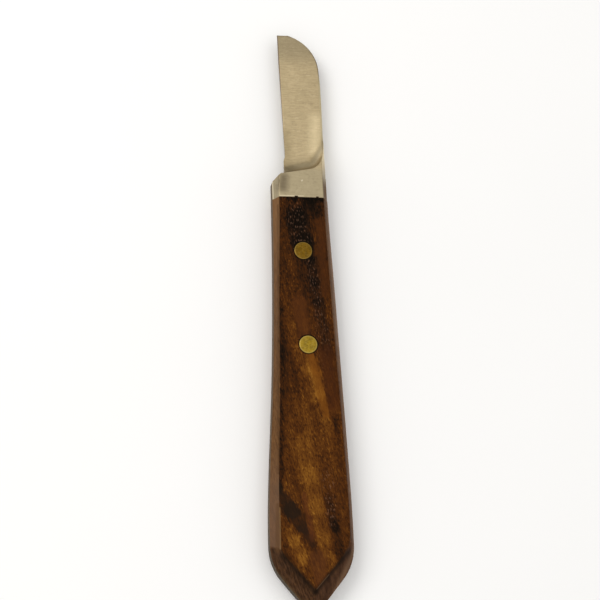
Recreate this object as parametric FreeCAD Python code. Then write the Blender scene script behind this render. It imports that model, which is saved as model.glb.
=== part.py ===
"""Bench knife: a short forged blade with its bolster and full tang, two wooden scales and two brass pins.

The knife lies on its back. +Y runs from the butt to the blade's tip, +X towards the spine,
and +Z up out of the front face. The origin is the middle of the bounding box's underside.
All sizes are in millimetres.
"""
import FreeCAD, Part
import math
import os

# ---- driving dimensions ----
OVERALL_LENGTH = 165.0
HANDLE_WIDTH = 22.3
HANDLE_THICKNESS = 9.0
TANG_THICKNESS = 3.0
PIN_DIAMETER = 5.0

TIP_Y = OVERALL_LENGTH / 2
BUTT_Y = -OVERALL_LENGTH / 2
MID_Z = HANDLE_THICKNESS / 2
TANG_BACK_Z = MID_Z - TANG_THICKNESS / 2
TANG_FRONT_Z = MID_Z + TANG_THICKNESS / 2

# ---- handle ----
# One row for each place along the handle: y, then x of the tang's left edge, of the front face's
# left edge, of the front face's right edge and of the tang's right edge. The side facets run
# between them. The handle is narrowest at the bolster and widest at the hip.
HANDLE_ROWS = [
    (38.0, -7.85, -6.35, 5.95, 7.50),
    (26.0, -7.90, -6.55, 6.15, 7.80),
    (8.0, -8.15, -7.15, 6.80, 8.60),
    (-10.0, -8.65, -7.60, 7.55, 9.30),
    (-28.0, -9.50, -8.00, 8.40, 10.05),
    (-46.0, -10.60, -8.65, 9.25, 10.75),
]
HIP_HALF_WIDTH = HANDLE_WIDTH / 2
HIP_RADIUS = 14.0
BUTT_HALF_ANGLE = math.radians(39.5)
BUTT_POINT_RADIUS = 0.8
# The front face has its own hips, further in, and a blunter point, so the end facets are wide.
FACE_HIP_LEFT = -8.9
FACE_HIP_RIGHT = 9.6
FACE_HIP_LEFT_RADIUS = 6.0
FACE_HIP_RIGHT_RADIUS = 12.0
FACE_HALF_ANGLE = math.radians(42.0)
FACE_POINT_RADIUS = 0.3
END_FACET_LENGTH = 6.6

# ---- bolster ----
JOINT_Y = 31.3
SHOULDER_CORNER = (-7.86, 36.6)
SHOULDER_CORNER_RADIUS = 0.6
SHOULDER_TOP = (-4.2, 39.35)
SHOULDER_HOLLOW_RADIUS = 2.0

# ---- blade ----
EDGE_HEEL = (-3.55, 43.5)
EDGE_TIP_X = -4.95
TIP_FLAT_END = (-1.9, 82.4)
TIP_CURVE_MIDDLE = (3.2, 79.05)
TIP_CURVE_END = (6.5, 72.0)
SPINE_MIDDLE = (7.06, 58.0)
SPINE_HEEL = (7.2, 45.5)
BOLSTER_SPINE = (7.42, 41.0)
SPINE_THICKNESS = 3.2
BEVEL_SHOULDER_THICKNESS = 0.66
EDGE_THICKNESS = 0.16
EDGE_BEVEL_WIDTH = 0.5
EDGE_BEVEL_FADE = 1.5

# ---- plunge: the hollow where each flat of the blade runs out into the bolster ----
PLUNGE_LEFT = (-12.0, 37.1)
PLUNGE_TURN = (2.4, 39.7)
PLUNGE_ARC_RADIUS = 4.6
PLUNGE_EXIT_ANGLE = math.radians(60.0)
PLUNGE_HOLLOW_RADIUS = 4.0

# ---- pins ----
FORWARD_PIN_PLACE = (-0.2, 15.7)
REAR_PIN_PLACE = (0.3, -10.9)
PIN_CHAMFER = 0.2

# ---- how far cutting and overlapping shapes run on, so that their faces never coincide with the model's ----
REACH = 20.0
JOINT_OVERLAP = 2.0
BEVEL_OVERSHOOT = 1.0

TOLERANCE = 0.01


def vec(x, y, z=0.0):
    return FreeCAD.Vector(x, y, z)


def line(start, end, z):
    return Part.LineSegment(vec(*start, z), vec(*end, z)).toShape()


def arc_through(start, middle, end, z):
    return Part.Arc(vec(*start, z), vec(*middle, z), vec(*end, z)).toShape()


def direction(start, end):
    length = math.dist(start, end)
    return ((end[0] - start[0]) / length, (end[1] - start[1]) / length)


def along(start, heading, distance):
    return (start[0] + heading[0] * distance, start[1] + heading[1] * distance)


def rounded_corner(before, corner, after, radius):
    """Start, middle and end of the arc that rounds the corner between two straight runs."""
    inward = direction(corner, before)
    outward = direction(corner, after)
    half = math.acos(inward[0] * outward[0] + inward[1] * outward[1]) / 2
    start = along(corner, inward, radius / math.tan(half))
    end = along(corner, outward, radius / math.tan(half))
    bisector = direction((0, 0), (inward[0] + outward[0], inward[1] + outward[1]))
    centre = along(corner, bisector, radius / math.sin(half))
    middle = along(centre, bisector, -radius)
    return start, middle, end


def smooth_side(points, z):
    """Spline through the points that leaves its last point straight along the handle."""
    spline = Part.BSplineCurve()
    headings = direction(points[0], points[1])
    last = (0, math.copysign(1, points[-1][1] - points[0][1]))
    spline.interpolate(
        [vec(*point, z) for point in points],
        InitialTangent=vec(*headings),
        FinalTangent=vec(*last),
    )
    return spline.toShape()


def handle_outline(columns, hips, hip_radii, half_angle, point_y, point_radius, z):
    """Closed outline of the handle at one level, the same number of edges at every level.

    columns, hips and hip_radii each hold a value for the left side and one for the right.
    """
    sharp_y = point_y - point_radius * (1 / math.sin(half_angle) - 1)
    point = (0.0, sharp_y)
    corners = [(hip, sharp_y + abs(hip) / math.tan(half_angle)) for hip in hips]
    left_hip_arc = rounded_corner((hips[0], JOINT_Y), corners[0], point, hip_radii[0])
    right_hip_arc = rounded_corner(point, corners[1], (hips[1], JOINT_Y), hip_radii[1])
    point_arc = rounded_corner(corners[0], point, corners[1], point_radius)
    left_points = [(row[columns[0]], row[0]) for row in HANDLE_ROWS] + [left_hip_arc[0]]
    right_points = [(row[columns[1]], row[0]) for row in HANDLE_ROWS] + [right_hip_arc[2]]
    front_left = (left_points[0][0], TIP_Y + REACH)
    front_right = (right_points[0][0], TIP_Y + REACH)
    edges = [
        line(front_left, left_points[0], z),
        smooth_side(left_points, z),
        arc_through(*left_hip_arc, z),
        line(left_hip_arc[2], point_arc[0], z),
        arc_through(*point_arc, z),
        line(point_arc[2], right_hip_arc[0], z),
        arc_through(*right_hip_arc, z),
        smooth_side(right_points, z),
        line(right_points[0], front_right, z),
        line(front_right, front_left, z),
    ]
    return Part.Wire(Part.__sortEdges__(edges))


def tang_outline(z):
    hips = (-HIP_HALF_WIDTH, HIP_HALF_WIDTH)
    radii = (HIP_RADIUS, HIP_RADIUS)
    return handle_outline((1, 4), hips, radii, BUTT_HALF_ANGLE, BUTT_Y, BUTT_POINT_RADIUS, z)


def face_outline(z):
    hips = (FACE_HIP_LEFT, FACE_HIP_RIGHT)
    radii = (FACE_HIP_LEFT_RADIUS, FACE_HIP_RIGHT_RADIUS)
    point_y = BUTT_Y + END_FACET_LENGTH
    return handle_outline((2, 3), hips, radii, FACE_HALF_ANGLE, point_y, FACE_POINT_RADIUS, z)


def block(low, high):
    size = [top - bottom for bottom, top in zip(low, high)]
    return Part.makeBox(*size, vec(*low))


def behind_joint():
    return block((-REACH, BUTT_Y - REACH, -REACH), (REACH, JOINT_Y, HANDLE_THICKNESS + REACH))


def front_facets():
    """The faceted half of the handle in front of the tang, running on past the bolster."""
    return Part.makeLoft([tang_outline(TANG_FRONT_Z), face_outline(HANDLE_THICKNESS)], True, True)


def tang_slab():
    return Part.Face(tang_outline(TANG_BACK_Z)).extrude(vec(0, 0, TANG_THICKNESS))


def mirrored(shape):
    """The same shape on the other side of the blade's middle plane."""
    return shape.mirror(vec(0, 0, MID_Z), vec(0, 0, 1))


def pin_place_cylinder(place, radius):
    return Part.makeCylinder(radius, HANDLE_THICKNESS, vec(*place, 0))


def pin(place):
    body = pin_place_cylinder(place, PIN_DIAMETER / 2)
    rims = [edge for edge in body.Edges if isinstance(edge.Curve, Part.Circle)]
    return body.makeChamfer(PIN_CHAMFER, rims)


def pin_holes():
    holes = [pin_place_cylinder(place, PIN_DIAMETER / 2) for place in (FORWARD_PIN_PLACE, REAR_PIN_PLACE)]
    return Part.makeCompound(holes)


def front_scale():
    return front_facets().common(behind_joint()).cut(pin_holes())


def blade_edge_x(y):
    """x of the straight cutting edge at a place y along the knife."""
    fraction = (y - EDGE_HEEL[1]) / (TIP_Y - EDGE_HEEL[1])
    return EDGE_HEEL[0] + (EDGE_TIP_X - EDGE_HEEL[0]) * fraction


def forging_outline():
    """Plan outline of the bolster and blade; the left side is the cutting edge."""
    left = HANDLE_ROWS[0][1]
    right = HANDLE_ROWS[0][4]
    start = (left, JOINT_Y - JOINT_OVERLAP)
    end = (right, JOINT_Y - JOINT_OVERLAP)
    corner_arc = rounded_corner(start, SHOULDER_CORNER, SHOULDER_TOP, SHOULDER_CORNER_RADIUS)
    hollow_arc = rounded_corner(SHOULDER_CORNER, SHOULDER_TOP, EDGE_HEEL, SHOULDER_HOLLOW_RADIUS)
    tip = (blade_edge_x(TIP_Y), TIP_Y)
    spine = Part.BSplineCurve()
    spine.interpolate(
        [vec(*TIP_CURVE_END), vec(*SPINE_MIDDLE), vec(*SPINE_HEEL), vec(*BOLSTER_SPINE)],
    )
    edges = [
        line(start, corner_arc[0], 0),
        arc_through(*corner_arc, 0),
        line(corner_arc[2], hollow_arc[0], 0),
        arc_through(*hollow_arc, 0),
        line(hollow_arc[2], tip, 0),
        line(tip, TIP_FLAT_END, 0),
        arc_through(TIP_FLAT_END, TIP_CURVE_MIDDLE, TIP_CURVE_END, 0),
        spine.toShape(),
        line(BOLSTER_SPINE, end, 0),
        line(end, start, 0),
    ]
    return Part.Wire(Part.__sortEdges__(edges))


def plunge_outline():
    """Plan of what is ground away beyond the bolster: a line, an arc that turns up, and a line out."""
    heading = direction(PLUNGE_LEFT, PLUNGE_TURN)
    start_angle = math.atan2(heading[1], heading[0])
    centre = (
        PLUNGE_TURN[0] - PLUNGE_ARC_RADIUS * math.sin(start_angle),
        PLUNGE_TURN[1] + PLUNGE_ARC_RADIUS * math.cos(start_angle),
    )

    def on_arc(angle):
        return (
            centre[0] + PLUNGE_ARC_RADIUS * math.sin(angle),
            centre[1] - PLUNGE_ARC_RADIUS * math.cos(angle),
        )

    arc_middle = on_arc((start_angle + PLUNGE_EXIT_ANGLE) / 2)
    arc_end = on_arc(PLUNGE_EXIT_ANGLE)
    exit_heading = (math.cos(PLUNGE_EXIT_ANGLE), math.sin(PLUNGE_EXIT_ANGLE))
    exit_point = along(arc_end, exit_heading, REACH)
    far_y = TIP_Y + REACH / 2
    far_right = (exit_point[0], far_y)
    far_left = (PLUNGE_LEFT[0], far_y)
    edges = [
        line(PLUNGE_LEFT, PLUNGE_TURN, 0),
        arc_through(PLUNGE_TURN, arc_middle, arc_end, 0),
        line(arc_end, exit_point, 0),
        line(exit_point, far_right, 0),
        line(far_right, far_left, 0),
        line(far_left, PLUNGE_LEFT, 0),
    ]
    return Part.Wire(Part.__sortEdges__(edges))


def flat_height(x):
    """Height of the front flat of the blade above its middle plane, across the blade."""
    edge_x = EDGE_HEEL[0]
    slope = (SPINE_THICKNESS - BEVEL_SHOULDER_THICKNESS) / 2 / (SPINE_HEEL[0] - edge_x)
    return BEVEL_SHOULDER_THICKNESS / 2 + slope * (x - edge_x)


def above_flat():
    """Everything in front of the blade's slanting flat."""
    left, right = -REACH, REACH
    top = HANDLE_THICKNESS + REACH
    corners = [
        vec(left, 0, MID_Z + flat_height(left)),
        vec(right, 0, MID_Z + flat_height(right)),
        vec(right, 0, top),
        vec(left, 0, top),
    ]
    face = Part.Face(Part.makePolygon(corners + corners[:1]))
    return face.extrude(vec(0, TIP_Y + REACH, 0))


def front_grind():
    """The stock removed in front of the blade, with the hollow along the plunge line."""
    prism = Part.Face(plunge_outline()).extrude(vec(0, 0, HANDLE_THICKNESS + REACH))
    grind = prism.common(above_flat())
    hollow_edges = []
    for edge in grind.Edges:
        middle = edge.valueAt((edge.FirstParameter + edge.LastParameter) / 2)
        on_flat = abs(middle.z - MID_Z - flat_height(middle.x)) < TOLERANCE
        beyond = middle.y > TIP_Y or middle.x < PLUNGE_LEFT[0] + TOLERANCE
        if on_flat and not beyond and middle.x < SPINE_HEEL[0] + REACH / 2:
            hollow_edges.append(edge)
    return grind.makeFillet(PLUNGE_HOLLOW_RADIUS, hollow_edges)


def edge_bevel():
    """The narrow sharpening bevel along the cutting edge, as the stock removed in front of it.

    It grows from nothing at the heel to its full width over the length of the fade.
    """
    steepness = (BEVEL_SHOULDER_THICKNESS - EDGE_THICKNESS) / 2 / EDGE_BEVEL_WIDTH
    sections = []
    for y in (EDGE_HEEL[1], EDGE_HEEL[1] + EDGE_BEVEL_FADE, TIP_Y + BEVEL_OVERSHOOT):
        width = EDGE_BEVEL_WIDTH if y > EDGE_HEEL[1] else 0
        low_x = blade_edge_x(y) - BEVEL_OVERSHOOT
        high_x = blade_edge_x(y) + width + BEVEL_OVERSHOOT
        flat_z = MID_Z + BEVEL_SHOULDER_THICKNESS / 2
        low_z = flat_z - steepness * (width + BEVEL_OVERSHOOT)
        high_z = flat_z + steepness * BEVEL_OVERSHOOT
        corners = [vec(low_x, y, low_z), vec(high_x, y, high_z), vec(low_x, y, high_z)]
        sections.append(Part.makePolygon(corners + corners[:1]))
    return Part.makeLoft(sections, True, True)


def blade():
    """One steel forging: blade, bolster and full tang."""
    envelope = front_facets().fuse(tang_slab()).fuse(mirrored(front_facets()))
    blank = Part.Face(forging_outline()).extrude(vec(0, 0, HANDLE_THICKNESS)).common(envelope)
    ahead = blank.cut(behind_joint())
    grind = front_grind()
    bevel = edge_bevel()
    ground = ahead.cut(grind).cut(mirrored(grind)).cut(bevel).cut(mirrored(bevel))
    tang = tang_slab().common(behind_joint())
    return ground.fuse(tang).cut(pin_holes()).removeSplitter()


def export(name, shape):
    solids = shape.Solids
    assert len(solids) == 1 and shape.isValid(), name
    solids[0].exportStep(os.path.join("parts", name + ".step"))
    box = solids[0].BoundBox
    print(f"{name}: {solids[0].Volume:.1f} mm3, x {box.XMin:.2f}..{box.XMax:.2f}, "
          f"y {box.YMin:.2f}..{box.YMax:.2f}, z {box.ZMin:.2f}..{box.ZMax:.2f}")


os.makedirs("parts", exist_ok=True)
front = front_scale()
export("blade", blade())
export("front_scale", front)
export("back_scale", mirrored(front))
export("forward_pin", pin(FORWARD_PIN_PLACE))
export("rear_pin", pin(REAR_PIN_PLACE))
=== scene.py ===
"""Looks of the bench knife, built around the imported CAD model.

The knife lies on its back on a pale floor: +Y runs to the blade's tip, +X to the spine, +Z to the viewer.
Each CAD node is replaced by a finer mesh of the same size, with eased edges and ground and sanded faces.
Shapes, materials, lights and camera are worked out in millimetres, and become metres as they are made.
"""

import math

import bmesh
import bpy
import numpy as np
from mathutils import Matrix, Vector, noise
from mathutils.bvhtree import BVHTree


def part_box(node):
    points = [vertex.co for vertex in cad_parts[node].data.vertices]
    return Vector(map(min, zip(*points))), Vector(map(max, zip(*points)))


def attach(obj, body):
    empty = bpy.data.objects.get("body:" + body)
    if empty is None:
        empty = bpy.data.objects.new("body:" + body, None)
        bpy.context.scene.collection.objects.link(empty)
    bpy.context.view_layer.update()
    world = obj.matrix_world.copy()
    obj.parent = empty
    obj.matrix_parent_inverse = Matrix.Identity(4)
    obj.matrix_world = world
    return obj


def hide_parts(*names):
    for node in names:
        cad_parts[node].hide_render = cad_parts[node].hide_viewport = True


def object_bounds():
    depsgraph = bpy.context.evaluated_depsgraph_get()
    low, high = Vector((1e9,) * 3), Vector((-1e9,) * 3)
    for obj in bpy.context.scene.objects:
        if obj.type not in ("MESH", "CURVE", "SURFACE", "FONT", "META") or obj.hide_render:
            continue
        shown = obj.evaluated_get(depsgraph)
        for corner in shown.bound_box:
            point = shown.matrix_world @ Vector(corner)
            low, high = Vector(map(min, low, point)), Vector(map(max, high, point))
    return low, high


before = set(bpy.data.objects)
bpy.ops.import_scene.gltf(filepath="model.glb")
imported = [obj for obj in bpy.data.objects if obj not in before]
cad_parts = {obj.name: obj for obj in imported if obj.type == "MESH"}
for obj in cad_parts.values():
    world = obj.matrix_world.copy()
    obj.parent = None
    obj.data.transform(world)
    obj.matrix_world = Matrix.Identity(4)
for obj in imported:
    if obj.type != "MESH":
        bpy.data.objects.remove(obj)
cad_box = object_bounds()

MM = 0.001


def node_box(node):
    """Lowest and highest corner of a CAD node in millimetres."""
    return [np.array(corner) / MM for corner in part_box(node)]


# ---- places read from the frame, in millimetres ----
WHOLE_LOW, WHOLE_HIGH = (np.array(corner) / MM for corner in cad_box)
FRONT_LOW, FRONT_HIGH = node_box("front_scale")
BUTT_Y = WHOLE_LOW[1]
TIP_Y = WHOLE_HIGH[1]
JOINT_Y = FRONT_HIGH[1]
FACE_Z = WHOLE_HIGH[2]
MID_Z = (WHOLE_LOW[2] + WHOLE_HIGH[2]) / 2
HALF_HANDLE = FACE_Z - MID_Z
HALF_TANG = FRONT_LOW[2] - MID_Z

PIN_NODES = ("forward_pin", "rear_pin")


def pin_circle(node):
    """Centre and radius of a pin."""
    low, high = node_box(node)
    return (low + high) / 2, (high[0] - low[0]) / 2


PINS = [pin_circle(node) for node in PIN_NODES]

# ---- the bolster and the blade, as they are ground ----
BOLSTER_STRAIGHT_Y = 38.0
BOLSTER_TANG_EDGES = (-7.85, 7.50)
BOLSTER_FACE_EDGES = (-6.35, 5.95)
EDGE_HEEL = (-3.55, 43.5)
SPINE_HEEL = (7.2, 45.5)
SPINE_THICKNESS = 3.2
BEVEL_SHOULDER_THICKNESS = 0.66
EDGE_THICKNESS = 0.16
EDGE_BEVEL_WIDTH = 0.5
EDGE_BEVEL_FADE = 4.0
SPINE_CHAMFER = 0.5
TIP_CHAMFER = 0.22
CHAMFER_FADE_START_Y = 62.0
CHAMFER_FADE = 12.0
CHAMFER_STEEPNESS = 0.75
CHAMFER_SHARE_OF_HEIGHT = 0.8
PLUNGE_LEFT = (-12.0, 37.1)
PLUNGE_TURN = (2.4, 39.7)
PLUNGE_ARC_RADIUS = 4.6
PLUNGE_EXIT_ANGLE = math.radians(60.0)
PLUNGE_HOLLOW_RADIUS = 4.0
FAN_START_Y = 66.0
FAN_CENTRE_INSET = 0.05

# ---- hand finishing ----
CREASE_EASE = 0.24
JOINT_EASE = 0.16
JOINT_EASE_STEEPNESS = 0.6
SEAM_HEIGHT = 0.05
SANDING_WAVE = 0.025
SANDING_WAVELENGTH = 9.0
SANDING_SEED = 3.7
UNSANDED_HEIGHT = 0.4
PIN_CLEARANCE = 0.07
FACET_BLEND = 0.3
GRIND_BLEND = 0.12

# ---- how the surfaces are sampled: rays are cast from FAR off, just INSIDE the ends of a node ----
FAR = 400.0
INSIDE = 0.01
ABOVE_MIDDLE = 0.02
BUTT_INSET = 0.03
WELD_DISTANCE = 0.001
SHARP_ANGLE = 32
STEEL_SHARP_ANGLE = 24
ROUND_SEGMENTS = 96
END_START_Y = BUTT_Y + 24
POINT_START_Y = BUTT_Y + 1.2
GRIND_START_Y = 36.0
GRIND_END_Y = 44.5


# ---------------------------------------------------------------- reading the CAD frame

def cad_tree(node):
    """A CAD node as a tree that rays are cast against, in millimetres."""
    mesh = bmesh.new()
    mesh.from_mesh(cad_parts[node].data)
    mesh.transform(Matrix.Scale(1 / MM, 4))
    tree = BVHTree.FromBMesh(mesh)
    mesh.free()
    return tree


def side_x(tree, side, y, z=MID_Z + ABOVE_MIDDLE):
    """x of the outermost surface on one side (-1 left, +1 right), seen along the X axis."""
    hit = tree.ray_cast(Vector((side * FAR, y, z)), Vector((-side, 0, 0)))[0]
    return hit.x


def rim_point(tree, centre, angle, z=MID_Z + ABOVE_MIDDLE):
    """Where the outline lies in a direction from a point inside it."""
    heading = Vector((math.cos(angle), math.sin(angle), 0))
    inside = Vector((centre[0], centre[1], z))
    hit = tree.ray_cast(inside + heading * FAR, -heading)[0]
    return (hit.x, hit.y)


def height_at(tree, x, y):
    """Height of the upper surface as if the pin holes were not there, or None beside it."""
    for centre, radius in PINS:
        if math.hypot(x - centre[0], y - centre[1]) < radius + PIN_CLEARANCE:
            return FACE_Z
    hit = tree.ray_cast(Vector((x, y, FAR)), Vector((0, 0, -1)))[0]
    return hit.z if hit else None


EASING_SPOTS = [
    (radius * math.cos(math.radians(turn)), radius * math.sin(math.radians(turn)))
    for radius in (0.5, 1.0) for turn in range(0, 180, 36)
]


def eased_height(tree, x, y):
    """Mean height of the surface round a point, which rounds a crease and leaves a flat as it is."""
    here = height_at(tree, x, y)
    if here is None:
        return None
    heights = [here]
    for across, up in EASING_SPOTS:
        ahead = height_at(tree, x + across * CREASE_EASE, y + up * CREASE_EASE)
        behind = height_at(tree, x - across * CREASE_EASE, y - up * CREASE_EASE)
        if ahead is not None and behind is not None:
            heights += [ahead, behind]
    return sum(heights) / len(heights)


# ---------------------------------------------------------------- making meshes

def mesh_piece(name, points, faces, material, node, sharp_angle=SHARP_ANGLE):
    """A closed mesh in place of a CAD node. Its points are in millimetres, and it becomes metres here."""
    data = bpy.data.meshes.new(name)
    data.from_pydata((np.array(points) * MM).tolist(), [], faces)
    mesh = bmesh.new()
    mesh.from_mesh(data)
    bmesh.ops.remove_doubles(mesh, verts=mesh.verts, dist=WELD_DISTANCE * MM)
    bmesh.ops.dissolve_degenerate(mesh, edges=mesh.edges, dist=WELD_DISTANCE * MM)
    bmesh.ops.recalc_face_normals(mesh, faces=mesh.faces)
    for face in mesh.faces:
        face.smooth = True
    mesh.to_mesh(data)
    mesh.free()
    data.set_sharp_from_angle(angle=math.radians(sharp_angle))
    data.materials.append(material)
    piece = bpy.data.objects.new(name, data)
    bpy.context.scene.collection.objects.link(piece)
    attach(piece, "root")
    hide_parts(node)
    return piece


def slab_faces(rows, columns):
    """Faces of a closed slab whose two sides are grids of rows x columns points, upper grid first."""
    def upper(row, column):
        return row * columns + column

    def lower(row, column):
        return rows * columns + upper(row, column)

    faces = []
    for row in range(rows - 1):
        for column in range(columns - 1):
            corners = [(row, column), (row, column + 1), (row + 1, column + 1), (row + 1, column)]
            faces.append([upper(*corner) for corner in corners])
            faces.append([lower(*corner) for corner in reversed(corners)])
        for column in (0, columns - 1):
            faces.append([upper(row, column), upper(row + 1, column),
                          lower(row + 1, column), lower(row, column)])
    for row in (0, rows - 1):
        for column in range(columns - 1):
            faces.append([upper(row, column), upper(row, column + 1),
                          lower(row, column + 1), lower(row, column)])
    return faces


def spaced(stretches):
    """Places along a line with their own spacing in each stretch: (start, end, spacing)."""
    places = []
    for start, end, spacing in stretches:
        count = max(1, round(abs(end - start) / spacing))
        places += list(np.linspace(start, end, count + 1)[:-1])
    return np.array(places + [stretches[-1][1]])


def edge_dense_fractions(count, crowding):
    """Fractions from 0 to 1 that crowd together at both ends."""
    even = np.linspace(-1, 1, count)
    return 0.5 + 0.5 * np.sign(even) * (1 - (1 - np.abs(even)) ** crowding)


def smallest(first, second, blend):
    """The smaller of two heights, with the crease between them eased over a blend height."""
    near = np.clip(blend - np.abs(first - second), 0, None) / blend
    return np.minimum(first, second) - near * near * blend / 4


def eased_end(distance, ease=JOINT_EASE):
    """How much lower a surface lies within an eased edge, by the distance from the edge."""
    inside = np.clip(ease - distance, 0, None) / ease
    return ease * JOINT_EASE_STEEPNESS * inside ** 2


def sanding_wave(x, y):
    """Slight unevenness of a surface finished by hand, in strokes along the handle."""
    spot = Vector((x / SANDING_WAVELENGTH, y / SANDING_WAVELENGTH * 0.5, SANDING_SEED))
    return SANDING_WAVE * noise.noise(spot)


# ---------------------------------------------------------------- wooden scales

SCALE_ROWS = spaced([
    (JOINT_Y, JOINT_Y - 0.4, 0.04),
    (JOINT_Y - 0.4, END_START_Y, 0.9),
    (END_START_Y, POINT_START_Y, 0.24),
    (POINT_START_Y, BUTT_Y + BUTT_INSET, 0.06),
])
SCALE_COLUMNS = 104
SCALE_CROWDING = 1.15
SHRINK_INSIDE = 0.999


def scale_points():
    """Front scale: its hand-sanded upper surface, then its flat lower one against the tang."""
    tree = cad_tree("front_scale")
    seam_z = FRONT_LOW[2]
    fractions = edge_dense_fractions(SCALE_COLUMNS, SCALE_CROWDING)
    upper = []
    lower = []
    for y in SCALE_ROWS:
        probe_y = min(y, JOINT_Y - INSIDE)
        left = side_x(tree, -1, probe_y, seam_z + INSIDE)
        right = side_x(tree, 1, probe_y, seam_z + INSIDE)
        for fraction in fractions:
            x = left + (right - left) * fraction
            probe_x = x * SHRINK_INSIDE
            z = eased_height(tree, probe_x, probe_y) or seam_z
            z -= eased_end(JOINT_Y - y)
            if z > seam_z + UNSANDED_HEIGHT:
                z += sanding_wave(x, y)
            upper.append((x, y, max(z, seam_z + SEAM_HEIGHT)))
            lower.append((x, y, seam_z))
    return np.array(upper + lower)


def turned_over(points):
    """The same points on the other side of the middle plane."""
    return points * (1, 1, -1) + (0, 0, 2 * MID_Z)


def drill(piece):
    """Cuts a hole for each pin right through a piece."""
    for centre, pin_radius in PINS:
        radius = pin_radius + PIN_CLEARANCE
        mesh = bmesh.new()
        place = Matrix.Translation(Vector(centre))
        bmesh.ops.create_cone(mesh, cap_ends=True, segments=ROUND_SEGMENTS,
                              radius1=radius, radius2=radius, depth=4 * HALF_HANDLE,
                              matrix=Matrix.Scale(MM, 4) @ place)
        data = bpy.data.meshes.new("drill")
        mesh.to_mesh(data)
        mesh.free()
        cutter = bpy.data.objects.new("drill", data)
        bpy.context.scene.collection.objects.link(cutter)
        hole = piece.modifiers.new("hole", "BOOLEAN")
        hole.operation = "DIFFERENCE"
        hole.solver = "EXACT"
        hole.object = cutter
        bpy.context.view_layer.update()
        evaluated = piece.evaluated_get(bpy.context.evaluated_depsgraph_get())
        drilled = bpy.data.meshes.new_from_object(evaluated)
        piece.modifiers.clear()
        piece.data = drilled
        bpy.data.objects.remove(cutter)
    piece.data.set_sharp_from_angle(angle=math.radians(SHARP_ANGLE))


def add_scales(front_wood, back_wood):
    faces = slab_faces(len(SCALE_ROWS), SCALE_COLUMNS)
    points = scale_points()
    for node, side_points, material in (
        ("front_scale", points, front_wood),
        ("back_scale", turned_over(points), back_wood),
    ):
        drill(mesh_piece(node + "_wood", side_points, faces, material, node))


# ---------------------------------------------------------------- blade, bolster and tang

TANG_ROWS = spaced([
    (BUTT_Y + BUTT_INSET, POINT_START_Y, 0.08),
    (POINT_START_Y, END_START_Y, 0.5),
    (END_START_Y, JOINT_Y, 2.0),
])
FORGING_ROWS = spaced([
    (JOINT_Y, JOINT_Y + 0.4, 0.04),
    (JOINT_Y + 0.4, GRIND_START_Y, 0.4),
    (GRIND_START_Y, GRIND_END_Y, 0.08),
    (GRIND_END_Y, FAN_START_Y, 0.35),
])
FAN_ROWS = 90
BLADE_COLUMNS = 76
BLADE_CROWDING = 1.7
SPINE_PATH_STRIDE = 6


def facet_height(x, y):
    """Half thickness of the faceted bolster: its front flat and the slanting facet on each side."""
    share = np.clip((y - JOINT_Y) / (BOLSTER_STRAIGHT_Y - JOINT_Y), 0, 1)
    height = np.full_like(x, HALF_HANDLE)
    for side in (0, 1):
        outer = JOINT_TANG_EDGES[side] + (BOLSTER_TANG_EDGES[side] - JOINT_TANG_EDGES[side]) * share
        inner = JOINT_FACE_EDGES[side] + (BOLSTER_FACE_EDGES[side] - JOINT_FACE_EDGES[side]) * share
        facet = HALF_TANG + (HALF_HANDLE - HALF_TANG) * (x - outer) / (inner - outer)
        height = smallest(height, facet, FACET_BLEND)
    return height


def plunge_distance(x, y):
    """Distance beyond the plunge line: a line, an arc that turns up, and a line out to the spine."""
    run = np.array(PLUNGE_TURN) - PLUNGE_LEFT
    start_angle = math.atan2(run[1], run[0])
    centre_x = PLUNGE_TURN[0] - PLUNGE_ARC_RADIUS * math.sin(start_angle)
    centre_y = PLUNGE_TURN[1] + PLUNGE_ARC_RADIUS * math.cos(start_angle)
    exit_x = centre_x + PLUNGE_ARC_RADIUS * math.sin(PLUNGE_EXIT_ANGLE)
    exit_y = centre_y - PLUNGE_ARC_RADIUS * math.cos(PLUNGE_EXIT_ANGLE)

    def beyond_line(start_x, start_y, angle):
        return (y - start_y) * math.cos(angle) - (x - start_x) * math.sin(angle)

    straight = np.minimum(
        beyond_line(*PLUNGE_TURN, start_angle),
        beyond_line(exit_x, exit_y, PLUNGE_EXIT_ANGLE))
    turn = np.arctan2(x - centre_x, centre_y - y)
    on_arc = (turn > start_angle) & (turn < PLUNGE_EXIT_ANGLE)
    return np.where(on_arc, PLUNGE_ARC_RADIUS - np.hypot(x - centre_x, y - centre_y), straight)


def ground_height(x, y):
    """Half thickness of the ground blade: its slanting flat, and the hollow along the plunge line."""
    slope = (SPINE_THICKNESS - BEVEL_SHOULDER_THICKNESS) / 2 / (SPINE_HEEL[0] - EDGE_HEEL[0])
    flat = BEVEL_SHOULDER_THICKNESS / 2 + slope * (x - EDGE_HEEL[0])
    distance = plunge_distance(x, y)
    remaining = np.clip(PLUNGE_HOLLOW_RADIUS - distance, 0, PLUNGE_HOLLOW_RADIUS)
    hollow = PLUNGE_HOLLOW_RADIUS - np.sqrt(PLUNGE_HOLLOW_RADIUS ** 2 - remaining ** 2)
    return flat + np.where(distance > 0, hollow, FAR)


def distance_to_path(x, y, path):
    """Distance from each point to a line of straight runs."""
    nearest = np.full(x.shape, FAR)
    for (start_x, start_y), (end_x, end_y) in zip(path[:-1], path[1:]):
        run_x, run_y = end_x - start_x, end_y - start_y
        length = run_x ** 2 + run_y ** 2
        share = np.clip(((x - start_x) * run_x + (y - start_y) * run_y) / length, 0, 1)
        nearest = np.minimum(nearest, np.hypot(x - start_x - share * run_x, y - start_y - share * run_y))
    return nearest


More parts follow.
